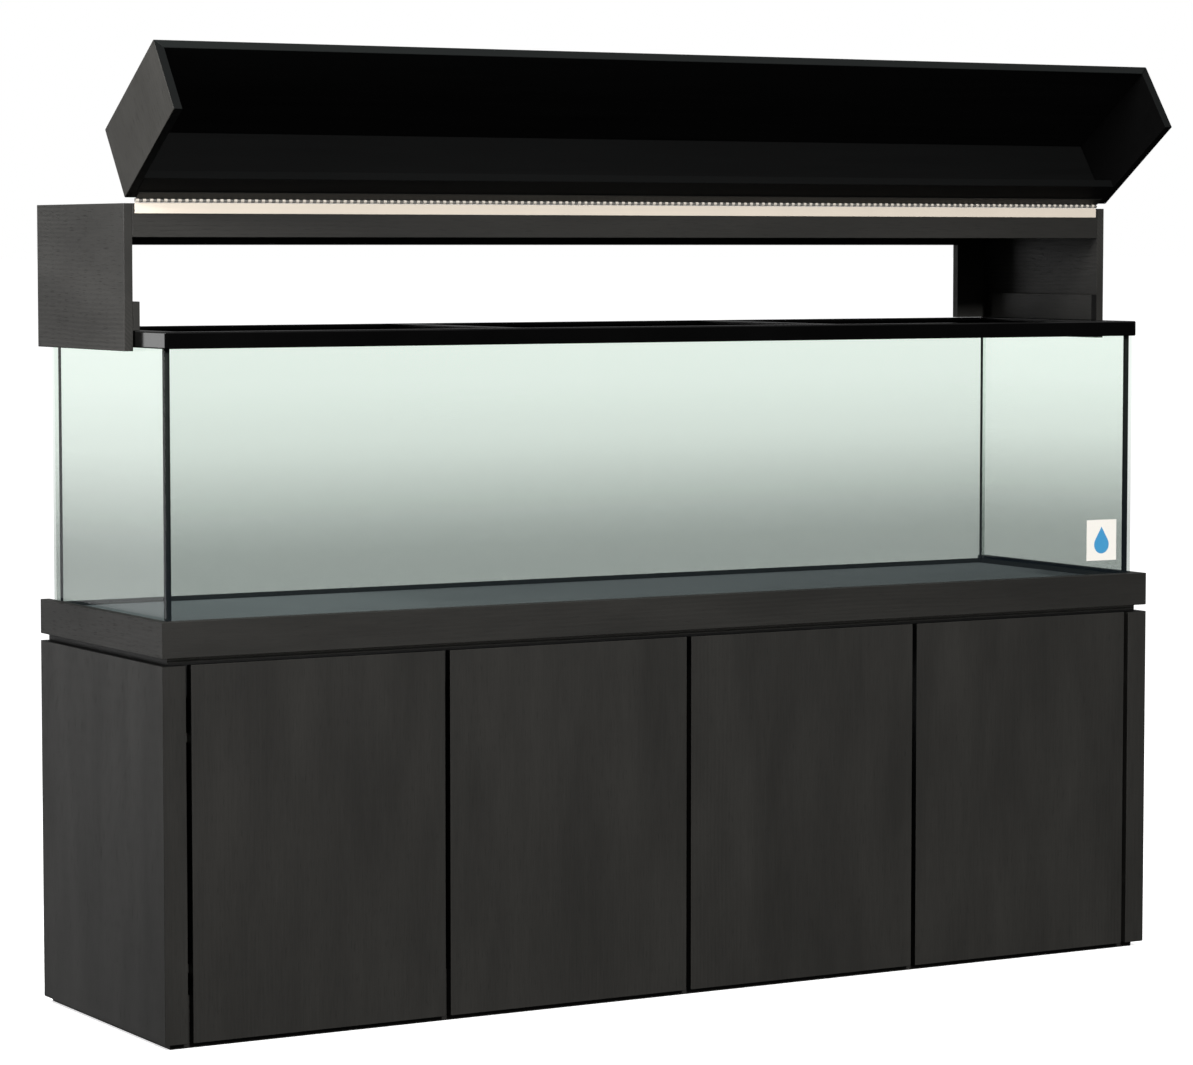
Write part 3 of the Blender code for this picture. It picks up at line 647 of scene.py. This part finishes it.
def knuckle_unit(way):
    """One rolled knuckle about the pin, with the neck that joins it to its leaf on one side."""
    bm = bmesh.new()
    middle = KNUCKLE - LEAF_SHEET / 2
    neck_y = CLOSE + LEAF_SHEET / 2
    start = -math.acos(neck_y / middle)
    outer, inner = [], []
    for index in range(ROLL_STEPS + 1):
        angle = start + ROLL_SWEEP * index / ROLL_STEPS
        for ring, radius in ((outer, KNUCKLE), (inner, KNUCKLE - LEAF_SHEET)):
            ring.append((way * radius * math.cos(angle), radius * math.sin(angle)))
    foot = leaf_high.z - KNUCKLE * 2 - pin.z + KNUCKLE_NECK
    outline = [(way * (CLOSE + LEAF_SHEET), foot)] + outer + inner[::-1] + [(way * CLOSE, foot)]
    ends = [[(x, pin.y + y, pin.z + z) for y, z in outline]
            for x in (-KNUCKLE_LENGTH / 2 + CLOSE, KNUCKLE_LENGTH / 2 - CLOSE)]
    add_prism(bm, ends)
    bmesh.ops.recalc_face_normals(bm, faces=bm.faces)
    mesh = bpy.data.meshes.new("knuckle")
    bm.to_mesh(mesh)
    bm.free()
    return mesh


def strip_metal(name, dark, light, metallic, roll):
    """Plated steel strip, with its rolled knuckles in a shade of their own."""
    graph = Graph(bpy.data.materials.new(name))
    upward = graph.reach((0, 0, 1)) - pin.z
    backward = graph.reach((0, 1, 0)) - pin.y
    radius = (upward * upward + backward * backward) ** 0.5
    leaf = radius.step(*ROLL_EDGE)
    rolled = graph.noise(graph.times(graph.coordinates(), (6.0, 900.0, 900.0)), 1.0, 2.0)
    stain = graph.noise(graph.coordinates(), 9.0, 3.0, 0.6)
    return graph.finish(graph.principled(
        base_color=graph.blend(leaf, rgb(*roll), graph.blend(stain, rgb(*dark), rgb(*light))),
        metallic=metallic, roughness=0.38 + rolled * 0.12,
        normal=graph.bump(rolled, 0.00003)))


pale_nickel = strip_metal("pale_nickel", (0.64, 0.57, 0.48), (0.71, 0.63, 0.53), 0.1,
                          (0.60, 0.55, 0.48))
near_black_nickel = strip_metal("near_black_nickel", (0.007, 0.007, 0.006), (0.013, 0.013, 0.011), 0.3,
                          (0.20, 0.195, 0.18))
strip_length = leaf_high.x - leaf_low.x
knuckles = int(strip_length / KNUCKLE_LENGTH / 2) * 2
pitch = strip_length / knuckles
strip_top = pin.z - KNUCKLE - CLOSE
for name, way, body, node, first, metal in (
        ("hinge_strip_canopy", 1, "stand", "piano_hinge_frame_leaf", 0, pale_nickel),
        ("hinge_strip_lid", -1, "lid", "piano_hinge_lid_leaf", 1, near_black_nickel)):
    start = (leaf_low.x + pitch * (first + 0.5), 0, 0)
    rolls = repeat_along(name + "_rolls", knuckle_unit(way), knuckles // 2, start,
                         (2 * pitch, 0, 0), metal)
    bm = bmesh.new()
    bm.from_mesh(rolls)
    across = sorted((pin.y + way * CLOSE, pin.y + way * (CLOSE + LEAF_SHEET)))
    add_block(bm, (leaf_low.x, across[0], leaf_low.z), (leaf_high.x, across[1], strip_top),
              STRIP_ARRIS)
    if body == "lid":
        swing = Matrix.Translation(pin) @ opened @ Matrix.Translation(-pin)
        bmesh.ops.transform(bm, matrix=swing, verts=bm.verts)
    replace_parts(new_piece(name, bm, metal, body), node)

graph = Graph(bpy.data.materials.new("hinge_pin_steel"))
drawn = graph.noise(graph.times(graph.coordinates(), (8.0, 600.0, 600.0)), 1.0, 2.0)
nodes["piano_hinge_pin"].data.materials[0] = graph.finish(graph.principled(
    base_color=graph.blend(drawn, rgb(0.42, 0.41, 0.39), rgb(0.55, 0.54, 0.52)),
    metallic=1.0, roughness=0.30))


# --- Cup hinges -----------------------------------------------------------------
# Dulled nickel plate: a pressed cup let into the door, and an arm on a plate in the cabinet.
graph = Graph(bpy.data.materials.new("dulled_nickel"))
scuffs = graph.noise(graph.coordinates(), 140.0, 3.0, 0.6)
dulled_nickel = graph.finish(graph.principled(
    base_color=graph.blend(scuffs, rgb(0.16, 0.155, 0.145), rgb(0.24, 0.235, 0.22)),
    metallic=1.0, roughness=0.24 + scuffs * 0.16))
for node in nodes:
    if node.startswith(("hinge_cup", "hinge_arm")):
        nodes[node].data.materials[0] = dulled_nickel


# --- Label ----------------------------------------------------------------------
# A glossy paper sticker low on the front pane, at its right-hand end, with a plain
# blue drop printed on it.
LABEL_SIZE = (0.085, 0.094)
LABEL_MIDDLE = (1.1329, 0.9516)
PAPER = 0.0002               # the sheet's thickness
INK = (PAPER * 1.4, PAPER * 1.1)    # how far the drop's face and back stand off the glass
DROP_RADIUS = 0.021
DROP_HEIGHT = 0.062
DROP_STEPS = 28
front_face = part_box("glass_front")[0].y


def printed(name, dark, light, roughness):
    """A coated paper or its ink."""
    graph = Graph(bpy.data.materials.new(name))
    fibres = graph.noise(graph.coordinates(), 300.0, 2.0)
    return graph.finish(graph.principled(
        base_color=graph.blend(fibres, rgb(*dark), rgb(*light)),
        roughness=roughness + fibres * 0.08))


paper = printed("sticker_paper", (0.80, 0.77, 0.71), (0.86, 0.83, 0.77), 0.35)
ink = printed("blue_ink", (0.045, 0.260, 0.500), (0.065, 0.310, 0.560), 0.30)
half_width, half_height = (size / 2 for size in LABEL_SIZE)
bm = bmesh.new()
add_block(bm, (LABEL_MIDDLE[0] - half_width, front_face - PAPER, LABEL_MIDDLE[1] - half_height),
          (LABEL_MIDDLE[0] + half_width, front_face - PAPER / 4, LABEL_MIDDLE[1] + half_height))
new_piece("pane_sticker", bm, paper, "stand")

bm = bmesh.new()
belly = LABEL_MIDDLE[1] - DROP_HEIGHT / 2 + DROP_RADIUS
lean = math.asin(DROP_RADIUS / (DROP_HEIGHT - DROP_RADIUS))
sweep = [lean - (math.pi + 2 * lean) * index / DROP_STEPS for index in range(DROP_STEPS + 1)]
outline = [(DROP_RADIUS * math.cos(angle), belly + DROP_RADIUS * math.sin(angle)) for angle in sweep]
outline.append((0.0, LABEL_MIDDLE[1] + DROP_HEIGHT / 2))
add_prism(bm, [[(LABEL_MIDDLE[0] + x, y, z) for x, z in outline]
               for y in (front_face - lift for lift in INK)])
bmesh.ops.recalc_face_normals(bm, faces=bm.faces)
new_piece("sticker_drop", bm, ink, "stand")
